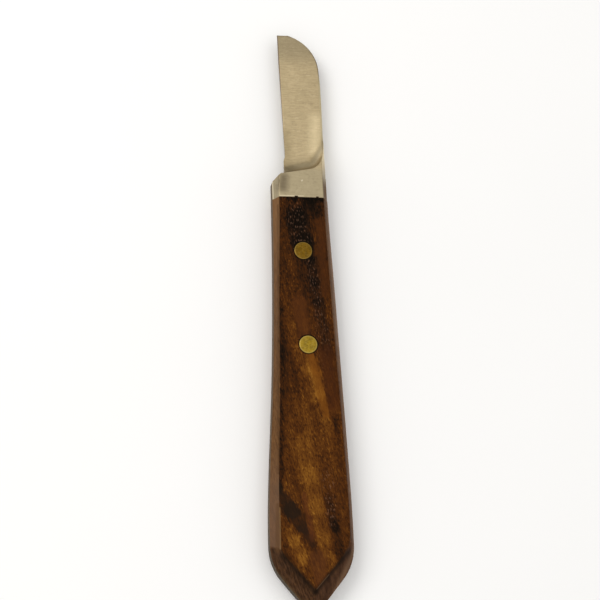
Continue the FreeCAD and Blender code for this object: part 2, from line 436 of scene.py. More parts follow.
def blade_rows(tree):
    """Both ends of each row of points across the forging, from the joint to the tip."""
    rows = []
    for y in FORGING_ROWS:
        probe_y = max(y, JOINT_Y + INSIDE)
        rows.append(((side_x(tree, -1, probe_y), y), (side_x(tree, 1, probe_y), y)))
    tip_x = side_x(tree, -1, TIP_Y - INSIDE)
    for share in np.linspace(0, 1, FAN_ROWS)[1:]:
        left_y = FAN_START_Y + (TIP_Y - FAN_START_Y) * share
        left = (side_x(tree, -1, min(left_y, TIP_Y - INSIDE)), left_y)
        right = rim_point(tree, (tip_x + FAN_CENTRE_INSET, FAN_START_Y), math.pi / 2 * share)
        rows.append((left, right))
    return rows


def forging_points(tree):
    """Bolster and blade: rows x columns points of the upper surface, with their half thickness."""
    rows = blade_rows(tree)
    fractions = edge_dense_fractions(BLADE_COLUMNS, BLADE_CROWDING)[None, :]
    left = np.array([row[0] for row in rows])[:, None, :]
    right = np.array([row[1] for row in rows])[:, None, :]
    x = left[..., 0] + (right[..., 0] - left[..., 0]) * fractions
    y = left[..., 1] + (right[..., 1] - left[..., 1]) * fractions
    height = smallest(facet_height(x, y), ground_height(x, y), GRIND_BLEND)

    edge_path = [row[0] for row in rows if row[0][1] > EDGE_HEEL[1]]
    fade = np.clip((y - EDGE_HEEL[1]) / EDGE_BEVEL_FADE, 0, 1)
    steepness = (BEVEL_SHOULDER_THICKNESS - EDGE_THICKNESS) / 2 / EDGE_BEVEL_WIDTH
    bevel = EDGE_THICKNESS / 2 + steepness * distance_to_path(x, y, [edge_path[0], edge_path[-1]])
    height = np.where(y > EDGE_HEEL[1], height + (np.minimum(height, bevel) - height) * fade, height)

    spine_path = [row[1] for row in rows if row[1][1] > BOLSTER_STRAIGHT_Y]
    spine_path = spine_path[::SPINE_PATH_STRIDE] + [spine_path[-1]]
    from_spine = distance_to_path(x, y, spine_path)
    chamfer_fade = np.clip((y - CHAMFER_FADE_START_Y) / CHAMFER_FADE, 0, 1)
    chamfer = SPINE_CHAMFER + (TIP_CHAMFER - SPINE_CHAMFER) * chamfer_fade
    lost = np.clip(chamfer - from_spine, 0, None) * CHAMFER_STEEPNESS
    most = np.clip(height - EDGE_THICKNESS / 2, 0, None) * CHAMFER_SHARE_OF_HEIGHT
    height = height - np.where(y > BOLSTER_STRAIGHT_Y, np.minimum(lost, most), 0)
    return x, y, height - eased_end(y - JOINT_Y)


def tang_points(tree):
    """Upper surface of the tang, a flat slab between the scales, from the butt to the joint."""
    fractions = edge_dense_fractions(BLADE_COLUMNS, BLADE_CROWDING)
    x = []
    for y in TANG_ROWS:
        probe_y = min(y, JOINT_Y - INSIDE)
        left, right = (side_x(tree, side, probe_y) for side in (-1, 1))
        x.append(left + (right - left) * fractions)
    x = np.array(x)
    y = np.repeat(TANG_ROWS[:, None], BLADE_COLUMNS, axis=1)
    return x, y, np.full_like(x, HALF_TANG)


def add_blade(steel):
    tree = cad_tree("blade")
    stretches = [tang_points(tree), forging_points(tree)]
    x, y, height = (np.concatenate(parts) for parts in zip(*stretches))
    upper = np.stack([x, y, MID_Z + height], axis=-1).reshape(-1, 3)
    lower = np.stack([x, y, MID_Z - height], axis=-1).reshape(-1, 3)
    points = np.concatenate([upper, lower])
    faces = slab_faces(*x.shape)
    piece = mesh_piece("blade_steel_forging", points, faces, steel, "blade",
                       STEEL_SHARP_ANGLE)
    drill(piece)


# ---------------------------------------------------------------- brass pins

PIN_RIM = 0.16
PIN_DOME = 0.05


def pin_profile(radius):
    """Half outline of a pin, (radius, height above the middle): hammered ends with an eased rim."""
    profile = [(0.0, HALF_HANDLE + PIN_DOME)]
    for share in np.linspace(0.1, 1, 12):
        across = (radius - PIN_RIM) * share
        profile.append((across, HALF_HANDLE + PIN_DOME * (1 - share ** 2)))
    for turn in np.radians((30, 60, 90)):
        across = radius - PIN_RIM * (1 - math.sin(turn))
        profile.append((across, HALF_HANDLE - PIN_RIM * (1 - math.cos(turn))))
    return profile


def add_pin(node, brass):
    centre, radius = pin_circle(node)
    upper = pin_profile(radius)
    profile = upper + [(radius, -height) for radius, height in reversed(upper)]
    points = []
    for radius, height in profile:
        for step in range(ROUND_SEGMENTS):
            turn = 2 * math.pi * step / ROUND_SEGMENTS
            points.append((centre[0] + radius * math.cos(turn), centre[1] + radius * math.sin(turn),
                           MID_Z + height))
    faces = []
    for ring in range(len(profile) - 1):
        for step in range(ROUND_SEGMENTS):
            following = (step + 1) % ROUND_SEGMENTS
            faces.append([ring * ROUND_SEGMENTS + step, ring * ROUND_SEGMENTS + following,
                          (ring + 1) * ROUND_SEGMENTS + following, (ring + 1) * ROUND_SEGMENTS + step])
    mesh_piece(node + "_brass", points, faces, brass, node)


# ---------------------------------------------------------------- node graphs

def srgb(red, green, blue):
    """A colour given as it looks on a screen, 0 to 255, in the linear values that nodes take."""
    linear = [
        value / 255 / 12.92 if value <= 10 else ((value / 255 + 0.055) / 1.055) ** 2.4
        for value in (red, green, blue)
    ]
    return (*linear, 1.0)


# The colour inputs and the colour result of a mix node, which share their names with others.
MIX_FIRST = 6
MIX_SECOND = 7
MIX_RESULT = 2


class Graph:
    """Adds nodes to one tree. Values are sockets or numbers, and every method returns a socket."""

    def __init__(self, tree):
        self.tree = tree

    def add(self, kind, inputs, output=0, **settings):
        node = self.tree.nodes.new(kind)
        for name, value in settings.items():
            setattr(node, name, value)
        for key, value in inputs.items():
            if isinstance(value, bpy.types.NodeSocket):
                self.tree.links.new(value, node.inputs[key])
            else:
                node.inputs[key].default_value = value
        return node.outputs[output]

    def math(self, operation, *values):
        return self.add("ShaderNodeMath", dict(enumerate(values)), operation=operation)

    def times(self, first, *others):
        for other in others:
            first = self.math("MULTIPLY", first, other)
        return first

    def plus(self, *values):
        return self.math("ADD", *values)

    def times_plus(self, value, factor, offset):
        return self.math("MULTIPLY_ADD", value, factor, offset)

    def vector_math(self, operation, *values, output=0):
        return self.add("ShaderNodeVectorMath", dict(enumerate(values)), output=output,
                        operation=operation)

    def step(self, value, start, end, low=0.0, high=1.0):
        """Smooth step from low at start to high at end."""
        inputs = {"Value": value, "From Min": start, "From Max": end,
                  "To Min": low, "To Max": high}
        return self.add("ShaderNodeMapRange", inputs, interpolation_type="SMOOTHSTEP", clamp=False)

    def mix(self, factor, first, second):
        inputs = {"Factor": factor, MIX_FIRST: first, MIX_SECOND: second}
        return self.add("ShaderNodeMix", inputs, output=MIX_RESULT, data_type="RGBA")

    def split(self, vector):
        node = self.tree.nodes.new("ShaderNodeSeparateXYZ")
        self.tree.links.new(vector, node.inputs[0])
        return node.outputs

    def moved(self, vector, place=(0, 0, 0), turn=(0, 0, 0), scale=(1, 1, 1)):
        inputs = {"Vector": vector, "Location": place, "Rotation": turn, "Scale": scale}
        return self.add("ShaderNodeMapping", inputs)

    def noise(self, vector, scale=1.0, detail=2.0, roughness=0.5, distortion=0.0, output=0):
        inputs = {"Vector": vector, "Scale": scale, "Detail": detail,
                  "Roughness": roughness, "Distortion": distortion}
        return self.add("ShaderNodeTexNoise", inputs, output=output)

    def ramp(self, value, stops):
        """Colour by value, from (place, colour) stops."""
        node = self.tree.nodes.new("ShaderNodeValToRGB")
        self.tree.links.new(value, node.inputs[0])
        elements = node.color_ramp.elements
        elements[0].position, elements[0].color = stops[0]
        elements[-1].position, elements[-1].color = stops[-1]
        for place, colour in stops[1:-1]:
            elements.new(place).color = colour
        return node.outputs[0]

    def bump(self, height, depth_mm):
        inputs = {"Height": height, "Distance": depth_mm * MM, "Strength": 1.0}
        return self.add("ShaderNodeBump", inputs)

    def centred(self, value):
        """A noise value, 0 to 1, moved to lie round 0."""
        return self.plus(value, -0.5)

    def paint(self, colour, place, marks):
        """The colour with soft streaks of other colours laid over it, one after the other."""
        level = self.vector_math("MULTIPLY", place, (1, 1, 0))
        for *stretch, strength, tint in marks:
            near = streak(self, level, *stretch)
            colour = self.mix(self.times(near, strength), colour, tint)
        return colour


def new_material(name):
    """An empty node material, its graph, and its surface point in millimetres."""
    material = bpy.data.materials.new(name)
    material.use_nodes = True
    material.node_tree.nodes.clear()
    graph = Graph(material.node_tree)
    place = graph.add("ShaderNodeTexCoord", {}, output="Object")
    return material, graph, graph.moved(place, scale=(1 / MM,) * 3)


def finish_material(graph, **inputs):
    """Ends the graph in one surface shader with the given inputs; underscores stand for spaces."""
    named = {name.replace("_", " "): value for name, value in inputs.items()}
    shader = graph.add("ShaderNodeBsdfPrincipled", named)
    output = graph.tree.nodes.new("ShaderNodeOutputMaterial")
    graph.tree.links.new(shader, output.inputs["Surface"])


def streak_group():
    """Node group: 1 on a straight streak between two points, falling to 0 beside it."""
    group = bpy.data.node_groups.new("streak", "ShaderNodeTree")
    for name, kind in (("Point", "Vector"), ("Start", "Vector"), ("Run", "Vector"),
                       ("Start Width", "Float"), ("End Width", "Float"), ("Softness", "Float")):
        group.interface.new_socket(name, in_out="INPUT", socket_type="NodeSocket" + kind)
    group.interface.new_socket("Near", in_out="OUTPUT", socket_type="NodeSocketFloat")
    graph = Graph(group)
    given = group.nodes.new("NodeGroupInput").outputs
    offset = graph.vector_math("SUBTRACT", given["Point"], given["Start"])
    length_squared = graph.vector_math("DOT_PRODUCT", given["Run"], given["Run"], output="Value")
    reach = graph.vector_math("DOT_PRODUCT", offset, given["Run"], output="Value")
    share = graph.math("MAXIMUM", graph.math("DIVIDE", reach, length_squared), 0.0)
    share = graph.math("MINIMUM", share, 1.0)
    scaled = graph.add("ShaderNodeVectorMath", {0: given["Run"], "Scale": share}, operation="SCALE")
    distance = graph.vector_math("DISTANCE", offset, scaled, output="Value")
    widening = graph.math("SUBTRACT", given["End Width"], given["Start Width"])
    half_width = graph.times(graph.times_plus(share, widening, given["Start Width"]), 0.5)
    inner = graph.math("SUBTRACT", half_width, given["Softness"])
    outer = graph.plus(half_width, given["Softness"])
    near = graph.math("SUBTRACT", 1.0, graph.step(distance, inner, outer))
    out = group.nodes.new("NodeGroupOutput")
    group.links.new(near, out.inputs[0])
    return group


def streak(graph, point, start, end, start_width, end_width, softness):
    """1 on a streak from start to end (x, y in millimetres), 0 beside it."""
    node = graph.tree.nodes.new("ShaderNodeGroup")
    node.node_tree = STREAK_GROUP
    graph.tree.links.new(point, node.inputs["Point"])
    node.inputs["Start"].default_value = (*start, 0)
    node.inputs["Run"].default_value = (end[0] - start[0], end[1] - start[1], 0)
    node.inputs["Start Width"].default_value = start_width
    node.inputs["End Width"].default_value = end_width
    node.inputs["Softness"].default_value = softness
    return node.outputs["Near"]


# ---------------------------------------------------------------- wood

# The handle's figure, streak by streak: start, end, width there, softness and how much lighter
# (golden heartwood) or darker (ink-brown veins) the wood is there. Places are millimetres on the handle.
WOOD_FIGURE = [
    # broad tone: darker at the bolster, lighter past the pins
    ((0.0, 31.0), (0.0, 8.0), 18.0, 18.0, 7.0, -0.08),
    ((0.0, -30.0), (0.0, -74.0), 22.0, 22.0, 10.0, 0.13),
    # from the bolster to the forward pin
    # Painted shade along the joint with the bolster, not figure in the wood.
    ((-6.5, 31.2), (6.2, 31.2), 1.6, 1.6, 0.7, -0.22),
    ((-2.0, 31.5), (-1.8, 25.0), 5.0, 6.0, 1.2, -0.18),
    ((-1.8, 25.0), (-0.6, 18.0), 6.0, 6.4, 1.0, -0.24),
    ((-0.6, 18.0), (0.6, 13.0), 6.0, 4.0, 1.0, -0.16),
    ((3.2, 31.5), (4.2, 26.5), 5.4, 3.0, 1.0, -0.22),
    ((1.2, 30.0), (2.0, 24.0), 3.0, 2.0, 0.8, -0.14),
    ((2.2, 25.4), (3.2, 18.8), 0.4, 0.4, 0.3, 0.24),
    ((4.5, 24.0), (5.6, 4.0), 2.4, 2.0, 0.6, -0.03),
    ((-5.6, 21.0), (-5.0, 14.0), 1.6, 2.0, 0.8, 0.06),
    # between the pins
    ((2.2, 13.6), (2.6, 7.0), 2.2, 2.8, 0.8, -0.18),
    ((2.4, 7.0), (3.0, 1.0), 2.8, 2.4, 0.9, -0.15),
    ((-0.6, 10.0), (0.8, 4.0), 3.0, 2.4, 1.2, -0.06),
    ((-1.8, 0.6), (-0.8, -6.4), 4.2, 3.4, 1.0, 0.08),
    ((-6.4, 3.0), (-4.6, -6.0), 1.0, 2.2, 0.6, 0.13),
    ((4.2, 0.0), (4.8, -12.0), 3.6, 3.4, 1.0, -0.14),
    ((-7.2, 1.0), (-7.0, -24.0), 1.2, 2.4, 0.6, -0.20),
    ((-5.6, -12.6), (-4.6, -23.0), 2.6, 3.4, 1.2, -0.08),
    # the golden band past the rear pin
    ((-4.6, -6.0), (-2.6, -12.0), 2.2, 2.0, 0.6, 0.12),
    ((-3.0, -12.0), (-0.6, -18.0), 1.8, 3.0, 0.6, 0.14),
    ((-0.6, -18.0), (1.6, -25.0), 3.2, 3.4, 0.7, 0.18),
    ((0.2, -13.4), (1.6, -19.0), 2.2, 2.6, 0.4, 0.24),
    ((1.6, -19.0), (3.2, -24.4), 2.6, 2.6, 0.4, 0.22),
    ((4.8, -13.0), (6.4, -27.0), 3.0, 2.4, 0.8, -0.10),
    ((3.2, -24.4), (4.5, -31.0), 2.6, 2.2, 0.4, 0.20),
    ((4.5, -31.0), (6.4, -39.5), 2.2, 1.4, 0.5, 0.14),
    ((-3.6, -18.0), (-2.4, -27.0), 1.6, 2.0, 0.8, -0.07),
    ((-1.6, -26.0), (-1.6, -37.0), 4.0, 4.6, 1.4, 0.07),
    ((-7.4, -24.0), (-8.4, -50.0), 1.6, 1.2, 0.6, -0.26),
    ((-6.6, 28.0), (-7.2, 2.0), 0.9, 0.9, 0.4, -0.12),
    # the hip
    ((7.2, -32.6), (7.0, -37.4), 1.4, 1.4, 0.6, -0.20),
    ((-1.8, -38.0), (-1.0, -46.0), 4.6, 6.0, 0.9, 0.17),
    ((-0.2, -46.0), (0.8, -55.0), 4.8, 4.6, 0.8, 0.15),
    ((1.0, -55.0), (2.4, -63.0), 4.4, 3.4, 0.8, 0.15),
    ((2.4, -63.0), (4.6, -70.0), 3.2, 3.4, 0.7, 0.12),
    ((-4.4, -49.0), (-0.4, -63.0), 1.6, 1.6, 0.8, -0.05),
    ((6.6, -44.0), (6.6, -56.0), 3.4, 3.4, 1.0, 0.02),
    ((4.4, -53.0), (5.6, -60.0), 2.2, 3.0, 0.8, -0.20),
    ((5.6, -60.0), (7.2, -67.0), 3.2, 2.4, 1.0, -0.22),
    ((-9.2, -49.0), (-5.8, -55.9), 1.8, 4.2, 0.6, -0.26),
    ((-5.8, -55.9), (-2.8, -60.7), 4.2, 2.6, 0.6, -0.24),
    ((-2.8, -60.7), (-0.4, -64.6), 2.6, 1.6, 0.5, -0.20),
    ((-0.4, -64.6), (0.8, -68.0), 1.6, 0.8, 0.5, -0.14),
    ((-6.3, -60.2), (-5.3, -63.6), 1.4, 2.8, 0.4, 0.16),
    ((-5.3, -63.6), (-3.2, -68.0), 2.8, 3.2, 0.5, 0.22),
    ((-3.2, -68.0), (-3.1, -71.0), 3.0, 2.0, 0.5, 0.18),
]
# Stretches where the wood is smooth, without dark pores or painted pore glints: start, end, width there,
# softness, strength and colour.
SMOOTH_WOOD = [
    ((4.6, 24.0), (5.4, 4.0), 2.6, 2.0, 0.8, 0.45, srgb(77, 41, 16)),
    ((-1.8, 0.6), (-0.6, -7.0), 4.0, 3.6, 1.0, 0.45, srgb(84, 46, 20)),
    ((0.8, -13.6), (2.0, -19.0), 2.0, 2.2, 0.5, 0.50, srgb(118, 68, 18)),
    ((2.0, -19.0), (4.6, -30.0), 2.2, 1.8, 0.5, 0.50, srgb(114, 66, 17)),
    ((5.0, -13.0), (6.6, -28.0), 3.4, 3.0, 1.0, 0.45, srgb(72, 36, 14)),
    ((-9.2, -49.0), (-5.8, -55.9), 1.8, 4.2, 0.8, 0.48, srgb(40, 28, 18)),
    ((-5.8, -55.9), (-2.8, -60.7), 4.2, 2.6, 0.8, 0.48, srgb(40, 27, 17)),
    ((-2.8, -60.7), (-0.4, -64.6), 2.6, 1.6, 0.6, 0.42, srgb(50, 31, 19)),
    ((-2.4, -52.0), (-0.4, -62.5), 1.2, 1.6, 0.7, 0.36, srgb(94, 50, 26)),
    ((0.8, -68.0), (1.6, -75.0), 4.0, 3.0, 1.0, 0.40, srgb(86, 49, 26)),
]
# Stretches strewn with pale flecks: painted glints of light in the pores.
GLINTING_WOOD = [
    ((-2.2, 27.0), (-0.8, 19.0), 4.4, 5.0, 1.0),
    ((1.8, 13.0), (3.0, 1.0), 2.6, 2.6, 0.8),
    ((3.2, 1.0), (5.4, -17.0), 2.6, 3.0, 1.0),
    ((4.0, -46.0), (5.0, -58.0), 3.0, 3.0, 1.0),
]
GRAIN_LEAN = 0.10
GRAIN_BEND = 0.0010

# How strongly each texture lightens or darkens the wood.
MEAN_TONE = 0.50
RIBBON_CONTRAST = 0.40
MOTTLE_CONTRAST = 0.66
FIBRE_CONTRAST = 0.60
HAIR_CONTRAST = 0.80
PORE_DARKENING = 0.20
GLINT_LIGHTENING = 0.32
SMOOTH_SHARE = 0.8
PORE_DEPTH = 0.020
WOOD_COLOURS = [
    (0.00, srgb(13, 8, 4)),
    (0.16, srgb(31, 18, 9)),
    (0.32, srgb(54, 29, 10)),
    (0.44, srgb(68, 36, 11)),
    (0.56, srgb(84, 47, 14)),
    (0.68, srgb(100, 60, 19)),
    (0.80, srgb(114, 71, 22)),
    (1.00, srgb(140, 94, 34)),
]


def grain_lines(graph, board):
    """The board's space with the grain straightened: the grain leans over more towards the butt."""
    x, y, z = graph.split(board)
    along = graph.math("SUBTRACT", JOINT_Y, y)
    lean = graph.times(along, graph.times_plus(along, GRAIN_BEND, GRAIN_LEAN))
    return graph.add("ShaderNodeCombineXYZ", {0: graph.math("SUBTRACT", x, lean), 1: y, 2: z})


def wood(name, turn=0.0, offset=(0, 0, 0)):
    """Oiled dark hardwood. turn and offset say how the scale was cut from the figured board."""
    material, graph, place = new_material(name)
    board = graph.moved(place, place=offset, turn=(0, 0, turn))
    grain = grain_lines(graph, board)

    drift = graph.noise(graph.moved(grain, scale=(0.45, 0.16, 0.3)), detail=3, output="Color")
    ragged = graph.noise(graph.moved(grain, scale=(1.6, 0.5, 1.0)), detail=3, roughness=0.6,
                         output="Color")
    drift = graph.vector_math("SUBTRACT", drift, (0.5,) * 3)
    ragged = graph.vector_math("SUBTRACT", ragged, (0.5,) * 3)
    wavy = graph.vector_math("MULTIPLY_ADD", drift, (2.0, 3.0, 0.0), board)
    wavy = graph.vector_math("MULTIPLY_ADD", ragged, (2.0, 5.0, 0.0), wavy)
    flat = graph.vector_math("MULTIPLY", wavy, (1, 1, 0))
    ribbons = graph.noise(graph.moved(grain, scale=(0.6, 0.05, 0.3)), detail=4, roughness=0.6,
                          distortion=0.5)
    fibres = graph.noise(graph.moved(grain, scale=(2.4, 0.22, 1.5)), detail=4, roughness=0.7)
    mottle = graph.noise(graph.moved(grain, scale=(0.8, 0.42, 0.6)), detail=4, roughness=0.7)
    hairs = graph.noise(graph.moved(grain, scale=(3.6, 0.7, 3.0)), detail=3, roughness=0.75)

    tone = graph.times_plus(graph.centred(ribbons), RIBBON_CONTRAST, MEAN_TONE)
    tone = graph.times_plus(graph.centred(mottle), MOTTLE_CONTRAST, tone)
    for *stretch, change in WOOD_FIGURE:
        tone = graph.times_plus(streak(graph, flat, *stretch), change, tone)
    open_grain = 1.0
    smooth_stretches = []
    for *stretch, strength, tint in SMOOTH_WOOD:
        near = streak(graph, flat, *stretch)
        smooth_stretches.append((graph.times(near, strength), tint))
        open_grain = graph.times_plus(near, -SMOOTH_SHARE, open_grain)
    open_grain = graph.math("MAXIMUM", open_grain, 1 - SMOOTH_SHARE)
    tone = graph.times_plus(graph.centred(fibres), FIBRE_CONTRAST, tone)
    tone = graph.times_plus(graph.centred(hairs), HAIR_CONTRAST, tone)

    pores = graph.noise(graph.moved(grain, scale=(2.7, 1.1, 2.0)), detail=2, roughness=0.5)
    pore = graph.step(pores, 0.55, 0.64)
    tone = graph.times_plus(graph.times(pore, open_grain), -PORE_DARKENING, tone)
    # Pale flecks: painted glints of light in the pores, lightening the tone.
    elsewhere = graph.moved(grain, place=(31, 7, 3), scale=(2.8, 1.0, 2.0))
    glint_noise = graph.noise(elsewhere, detail=2, roughness=0.5)
    glint = graph.times(graph.step(glint_noise, 0.56, 0.66), open_grain)
    clumps = graph.step(ribbons, 0.42, 0.60, low=0.3, high=1.0)
    tone = graph.times_plus(graph.times(glint, clumps), GLINT_LIGHTENING, tone)
    colour = graph.ramp(graph.times(tone, 0.8), WOOD_COLOURS)
    for share, tint in smooth_stretches:
        colour = graph.mix(share, colour, tint)
    # More painted pore glints, grey-beige, in the listed stretches.
    strewn = 0.0
    for stretch in GLINTING_WOOD:
        strewn = graph.math("MAXIMUM", strewn, streak(graph, flat, *stretch))
    colour = graph.mix(graph.times(glint, strewn, 0.30), colour, srgb(126, 94, 74))

    # Painted sheen on the long facets and painted shade on the facets at the butt.
    colour = facet_sheen_and_shade(graph, place, colour, fibres, ribbons)
    colour = pin_glue_and_shade(graph, place, colour)

    relief = graph.plus(graph.times(hairs, 0.5), graph.times(pore, -1.0))
    normal = graph.bump(relief, PORE_DEPTH)
    roughness = graph.times_plus(fibres, 0.16, 0.34)
    roughness = graph.times_plus(pore, 0.15, roughness)
    finish_material(graph, Base_Color=colour, Roughness=roughness, Normal=normal,
                    Specular_IOR_Level=0.03, IOR=1.45)
    return material


# The long facets end where y falls below HIP_LINE_SLOPE * |x| + HIP_LINE_START.
HIP_LINE_SLOPE = 0.39
HIP_LINE_START = -69.2
# Marks on the handle's facets, among them painted shade, painted highlights and painted reflections:
# start, end, width at each end, softness, strength and colour.
FACET_MARKS = [
    ((-6.75, 29.0), (-7.75, -10.0), 0.4, 0.5, 0.15, 0.4, srgb(58, 36, 18)),
    ((-7.75, -10.0), (-8.8, -46.0), 0.5, 0.4, 0.15, 0.4, srgb(58, 36, 18)),
    # Painted shade in the two creases of the V at the butt.
    ((-8.2, -67.2), (0.0, -76.7), 1.3, 1.3, 0.7, 0.75, srgb(22, 15, 9)),
    ((8.8, -66.7), (0.0, -76.7), 1.1, 1.1, 0.6, 0.75, srgb(22, 15, 9)),
    # A painted highlight on the V's right crease.
    ((0.3, -75.95), (3.6, -72.3), 0.16, 0.16, 0.14, 0.35, srgb(128, 100, 74)),
    ((-10.4, -70.4), (-1.2, -81.8), 0.7, 0.8, 0.5, 0.6, srgb(88, 74, 52)),
    ((11.2, -66.0), (4.6, -78.6), 1.5, 1.2, 0.7, 0.65, srgb(116, 88, 66)),
    # Painted reflection that makes the right facet paler, in this and the next two marks.
    ((7.7, 31.0), (9.3, -10.0), 1.5, 1.7, 0.7, 0.7, srgb(138, 112, 92)),
    ((9.3, -10.0), (10.9, -50.0), 1.7, 1.6, 0.7, 0.6, srgb(134, 106, 84)),
    ((10.9, -50.0), (11.3, -66.0), 1.6, 1.5, 0.7, 0.6, srgb(128, 100, 78)),
    ((-9.2, -54.0), (-9.5, -66.0), 0.7, 1.0, 0.3, 0.55, srgb(84, 58, 34)),
    # A painted highlight along the left facet's crease.
    ((-8.75, -55.0), (-8.85, -65.6), 0.25, 0.25, 0.15, 0.5, srgb(140, 112, 76)),
]


def facet_sheen_and_shade(graph, place, colour, fibres, ribbons):
    """The facets: painted sheen makes the long sides paler, and painted shade darkens the facets at the
    butt.
    """
    normal = graph.add("ShaderNodeNewGeometry", {}, output="Normal")
    across, _, up = graph.split(normal)
    x, y, _ = graph.split(place)
    on_facet = graph.step(graph.math("ABSOLUTE", up), 0.965, 0.90)
    on_side = graph.step(graph.math("ABSOLUTE", up), 0.86, 0.72)
    hip_line = graph.times_plus(graph.math("ABSOLUTE", x), HIP_LINE_SLOPE, HIP_LINE_START)
    at_end = graph.step(graph.math("SUBTRACT", hip_line, y), -0.6, 0.5)
    on_end = graph.times(on_facet, at_end)
    on_side = graph.times(on_side, graph.math("SUBTRACT", 1.0, at_end))
    left = graph.times(on_side, graph.step(across, 0.1, -0.1))
    right = graph.times(on_side, graph.step(across, -0.1, 0.1))
    # Painted sheen on the long side facets.
    sheen_left = graph.mix(graph.step(fibres, 0.3, 0.7), srgb(88, 60, 35), srgb(118, 84, 52))
    sheen_left = graph.mix(graph.step(y, -36.0, -56.0, high=0.6), sheen_left, srgb(108, 84, 68))
    sheen_left = graph.mix(graph.step(y, 4.0, 24.0, high=0.5), sheen_left, srgb(136, 100, 66))
    sheen_right = graph.mix(graph.step(ribbons, 0.35, 0.65), srgb(88, 55, 28), srgb(116, 82, 50))
    fading = graph.step(y, -36.0, 10.0, low=0.12, high=0.6)
    colour = graph.mix(graph.times(left, 0.85), colour, sheen_left)
    colour = graph.mix(graph.times(right, fading), colour, sheen_right)
    # Painted shade on the facets at the butt.
    shaded_end = graph.mix(graph.step(fibres, 0.35, 0.65), srgb(38, 26, 17), srgb(76, 54, 38))
    shaded_right_end = graph.mix(graph.step(ribbons, 0.35, 0.65), srgb(46, 31, 22), srgb(74, 52, 38))
    shaded_end = graph.mix(graph.step(across, 0.0, 0.3), shaded_end, shaded_right_end)
    colour = graph.mix(graph.times(on_end, 0.8), colour, shaded_end)
    return graph.paint(colour, place, FACET_MARKS)


def pin_glue_and_shade(graph, place, colour):
    """A thin dark ring round each pin: glue and polishing dirt, with painted shade in the gap."""
    level = graph.vector_math("MULTIPLY", place, (1, 1, 0))
    for centre, radius in PINS:
        distance = graph.vector_math("DISTANCE", level, (centre[0], centre[1], 0), output="Value")
        ring = graph.step(distance, radius + 0.42, radius + 0.08)
        colour = graph.mix(graph.times(ring, 0.85), colour, srgb(14, 9, 5))
    return colour


# ---------------------------------------------------------------- steel

# Marks on the steel, among them painted shade and painted highlights: start, end, width at each end,
# softness, strength and colour.
STEEL_MARKS = [
    # A painted dark reflection on the bolster's left flat.
    ((-5.4, 34.2), (-5.0, 37.0), 2.8, 2.4, 1.3, 0.7, srgb(98, 86, 68)),
    # A painted highlight along the bolster's lower edge at the joint.
    ((-6.2, 31.6), (0.4, 31.6), 0.2, 0.16, 0.1, 0.6, srgb(240, 226, 194)),
    ((-3.8, 41.5), (-3.8, 52.0), 3.4, 2.2, 1.8, 0.38, srgb(112, 98, 70)),
    ((-2.0, 42.4), (3.4, 43.6), 2.4, 2.2, 1.4, 0.3, srgb(112, 100, 74)),
    ((4.6, 47.0), (5.2, 56.0), 3.0, 3.0, 1.8, 0.35, srgb(238, 220, 178)),
    # A painted highlight along the bolster's left edge.
    ((-7.75, 31.6), (-7.8, 36.4), 0.3, 0.3, 0.15, 0.7, srgb(244, 232, 200)),
    ((-1.9, 31.4), (-1.4, 31.4), 0.5, 0.5, 0.12, 1.0, srgb(30, 20, 13)),
    ((4.1, 31.4), (4.5, 31.4), 0.4, 0.4, 0.12, 1.0, srgb(30, 20, 13)),
    ((0.0, 36.1), (0.2, 36.3), 0.25, 0.25, 0.2, 0.8, srgb(225, 214, 188)),
]
BRUSHING_DEPTH = 0.010
PATINA_AND_SHADE_STRENGTH = 0.9


def brushed_colour(graph, y, brushing, scratches, clouds, wear):
    """Colour of the brushed faces: the bolster's, then the blade's, and darker towards the tip."""
    on_blade = graph.step(y, JOINT_Y + 7.5, JOINT_Y + 9.5)
    near_tip = graph.step(y, TIP_Y - 12, TIP_Y - 4)
    bolster = graph.mix(clouds, srgb(164, 150, 121), srgb(182, 168, 136))
    blade = graph.mix(clouds, srgb(168, 151, 117), srgb(191, 172, 136))
    colour = graph.mix(on_blade, bolster, blade)
    colour = graph.mix(graph.times(near_tip, 0.8), colour, srgb(146, 133, 106))
    lines = graph.times(graph.step(brushing, 0.40, 0.64), graph.times_plus(on_blade, 0.20, 0.16))
    colour = graph.mix(lines, colour, srgb(130, 116, 88))
    fine = graph.times(graph.step(scratches, 0.56, 0.70), graph.times_plus(on_blade, 0.16, 0.14))
    colour = graph.mix(fine, colour, srgb(206, 192, 160))
    return graph.mix(graph.times(graph.step(wear, 0.50, 0.70), 0.22), colour, srgb(124, 110, 86))


